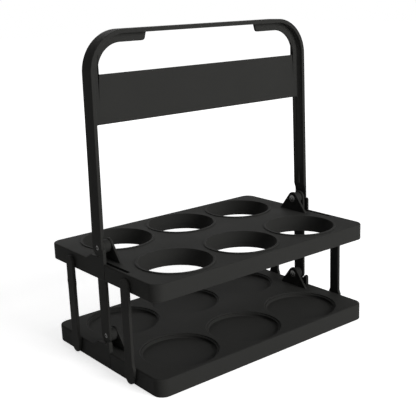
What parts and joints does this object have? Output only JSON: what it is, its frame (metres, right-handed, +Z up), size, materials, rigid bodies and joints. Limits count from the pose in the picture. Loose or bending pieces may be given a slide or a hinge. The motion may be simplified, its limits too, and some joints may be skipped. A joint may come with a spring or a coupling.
{
  "type": "folding drink carrier",
  "caption": "Folding drink carrier: moulded lower and upper trays with round places for bottles, joined by parallel swinging links, and a fold-down handle with a wide panel.",
  "frame": {"origin": "middle of the base tray's underside, on the surface that the carrier stands on", "axes": "+Z up, X along the long side with three places, Y across the short side with two places, the handle folds towards +Y"},
  "size_m": [0.288, 0.19, 0.328],
  "materials": {
    "moulded_plastic": "charcoal black, fine satin moulding texture",
    "steel": "dull turned steel"
  },
  "bodies": {
    "base": {"base_tray": "moulded_plastic", "base_pin_left": "steel", "base_pin_right": "steel", "base_pin_washer_left": "steel", "base_pin_washer_right": "steel"},
    "centre_left": {"centre_link_left": "moulded_plastic"},
    "centre_right": {"centre_link_right": "moulded_plastic"},
    "upper": {"upper_tray": "moulded_plastic", "handle_pin_left": "steel", "handle_pin_right": "steel", "handle_pin_washer_left": "steel", "handle_pin_washer_right": "steel"},
    "handle": {"handle": "moulded_plastic"},
    "side_front_left": {"side_link_front_left": "moulded_plastic", "side_pivot_lower_front_left": "moulded_plastic", "side_pivot_upper_front_left": "moulded_plastic"},
    "side_front_right": {"side_link_front_right": "moulded_plastic", "side_pivot_lower_front_right": "moulded_plastic", "side_pivot_upper_front_right": "moulded_plastic"},
    "side_rear_left": {"side_link_rear_left": "moulded_plastic", "side_pivot_lower_rear_left": "moulded_plastic", "side_pivot_upper_rear_left": "moulded_plastic"},
    "side_rear_right": {"side_link_rear_right": "moulded_plastic", "side_pivot_lower_rear_right": "moulded_plastic", "side_pivot_upper_rear_right": "moulded_plastic"}
  },
  "joints": [
    {"name": "tray_fold", "type": "hinge", "parent": "base", "child": "centre_left", "pos_m": [-0.135, 0, 0.032], "axis": [-1, 0, 0], "range_deg": [0, 62]},
    {"name": "centre_right_swing", "type": "hinge", "parent": "base", "child": "centre_right", "pos_m": [0.135, 0, 0.032], "axis": [-1, 0, 0], "range_deg": [0, 62]},
    {"name": "side_front_left_swing", "type": "hinge", "parent": "base", "child": "side_front_left", "pos_m": [-0.1422, -0.05, 0.0075], "axis": [-1, 0, 0], "range_deg": [0, 62]},
    {"name": "side_front_right_swing", "type": "hinge", "parent": "base", "child": "side_front_right", "pos_m": [0.1422, -0.05, 0.0075], "axis": [-1, 0, 0], "range_deg": [0, 62]},
    {"name": "side_rear_left_swing", "type": "hinge", "parent": "base", "child": "side_rear_left", "pos_m": [-0.1422, 0.05, 0.0075], "axis": [-1, 0, 0], "range_deg": [0, 62]},
    {"name": "side_rear_right_swing", "type": "hinge", "parent": "base", "child": "side_rear_right", "pos_m": [0.1422, 0.05, 0.0075], "axis": [-1, 0, 0], "range_deg": [0, 62]},
    {"name": "upper_tray_level", "type": "hinge", "parent": "centre_left", "child": "upper", "pos_m": [-0.135, 0, 0.124], "axis": [-1, 0, 0], "range_deg": [-62, 0]},
    {"name": "handle_fold", "type": "hinge", "parent": "upper", "child": "handle", "pos_m": [0, 0, 0.124], "axis": [-1, 0, 0], "range_deg": [0, 90]}
  ],
  "couplings": [
    {"joint": "centre_right_swing", "follows": "tray_fold", "ratio": 1},
    {"joint": "side_front_left_swing", "follows": "tray_fold", "ratio": 1},
    {"joint": "side_front_right_swing", "follows": "tray_fold", "ratio": 1},
    {"joint": "side_rear_left_swing", "follows": "tray_fold", "ratio": 1},
    {"joint": "side_rear_right_swing", "follows": "tray_fold", "ratio": 1},
    {"joint": "upper_tray_level", "follows": "tray_fold", "ratio": -1}
  ]
}
